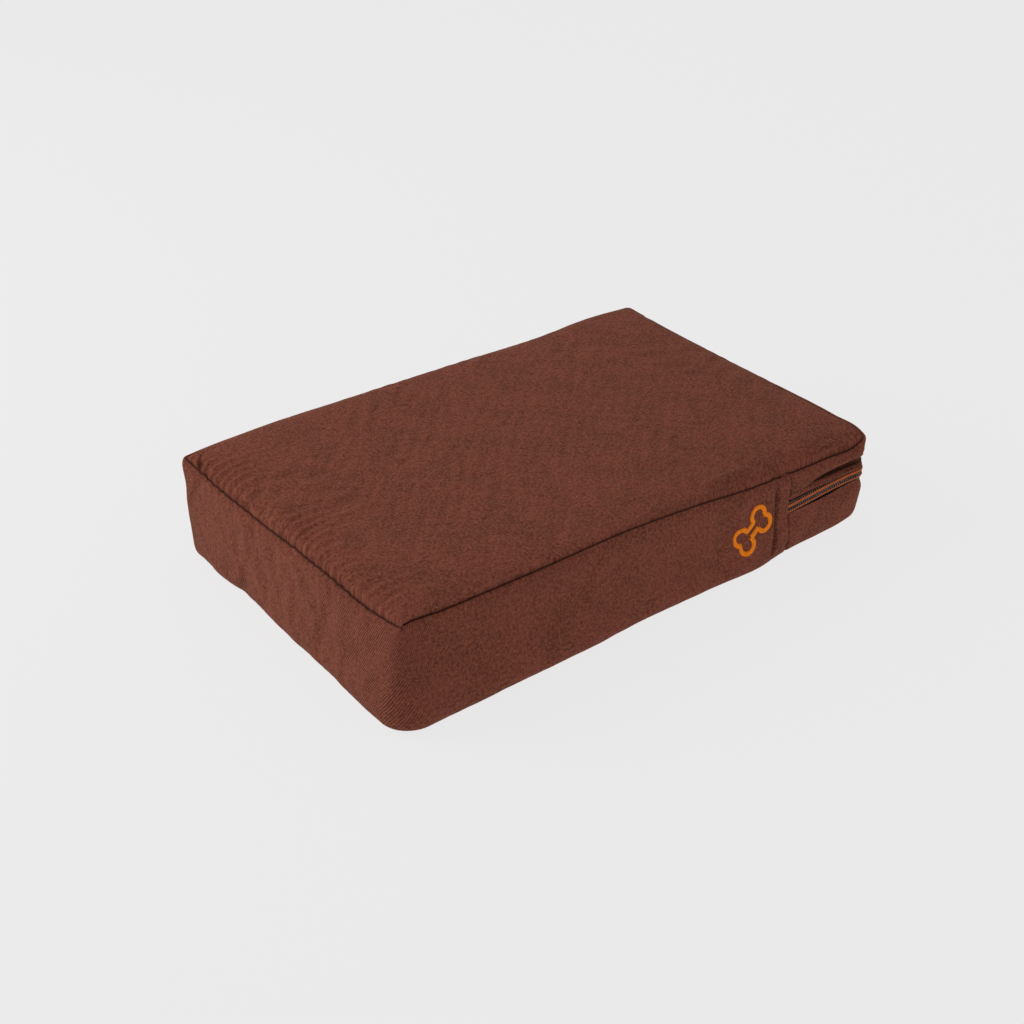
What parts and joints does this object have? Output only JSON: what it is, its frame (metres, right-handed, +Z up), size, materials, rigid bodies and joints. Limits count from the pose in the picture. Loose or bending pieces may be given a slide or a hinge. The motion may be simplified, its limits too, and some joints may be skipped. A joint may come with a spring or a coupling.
{
  "type": "pet cushion bed",
  "caption": "Rectangular box cushion for a pet to lie on: foam filling in a brushed cotton cover closed by a coil zip round one end.",
  "frame": {"origin": "middle of the underside, on the surface that the cushion lies on", "axes": "+X along the length towards the zipped end, +Y from the front to the back, +Z up"},
  "size_m": [0.4048, 0.2561, 0.076],
  "materials": {
    "cover_cloth": "brushed chocolate-brown cotton twill with a short nap",
    "sewing_thread": "matching brown spun thread",
    "contrast_thread": "copper-orange thread with a soft sheen",
    "zip_tape": "woven dark brown tape",
    "zip_coil": "dark brown nylon coil",
    "zip_metal": "dark bronze enamelled zinc",
    "spring_steel": "plain spring steel",
    "label_satin": "blank woven satin",
    "foam": "open-cell polyurethane foam",
    "wadding": "lofty polyester wadding"
  },
  "bodies": {
    "cushion": {"cover_top_panel": "cover_cloth", "cover_bottom_panel": "cover_cloth", "boxing_strip": "cover_cloth", "zip_band_upper": "cover_cloth", "zip_band_lower": "cover_cloth", "zip_topstitch": "sewing_thread", "seam_thread_top": "sewing_thread", "seam_thread_bottom": "sewing_thread", "zip_tape_upper": "zip_tape", "zip_tape_lower": "zip_tape", "zip_coil_upper": "zip_coil", "zip_coil_lower": "zip_coil", "zip_coil_thread_upper": "contrast_thread", "zip_coil_thread_lower": "contrast_thread", "zip_bottom_stop": "zip_metal", "zip_top_stop_upper": "zip_metal", "zip_top_stop_lower": "zip_metal", "sewn_motif": "contrast_thread", "care_label": "label_satin", "foam_core": "foam", "wadding_wrap": "wadding"},
    "zip_slider": {"zip_slider_body": "zip_metal", "zip_slider_crown": "zip_metal", "zip_lock_spring": "spring_steel"},
    "zip_pull": {"zip_pull": "zip_metal"}
  },
  "joints": [
    {"name": "zip_slide", "type": "slide", "parent": "cushion", "child": "zip_slider", "axis": [0, -1, 0], "range_m": [0, 0.187]},
    {"name": "pull_hinge", "type": "hinge", "parent": "zip_slider", "child": "zip_pull", "pos_m": [0.20269, 0.0816, 0.04], "axis": [0, 0, 1], "range_deg": [0, 140]}
  ]
}
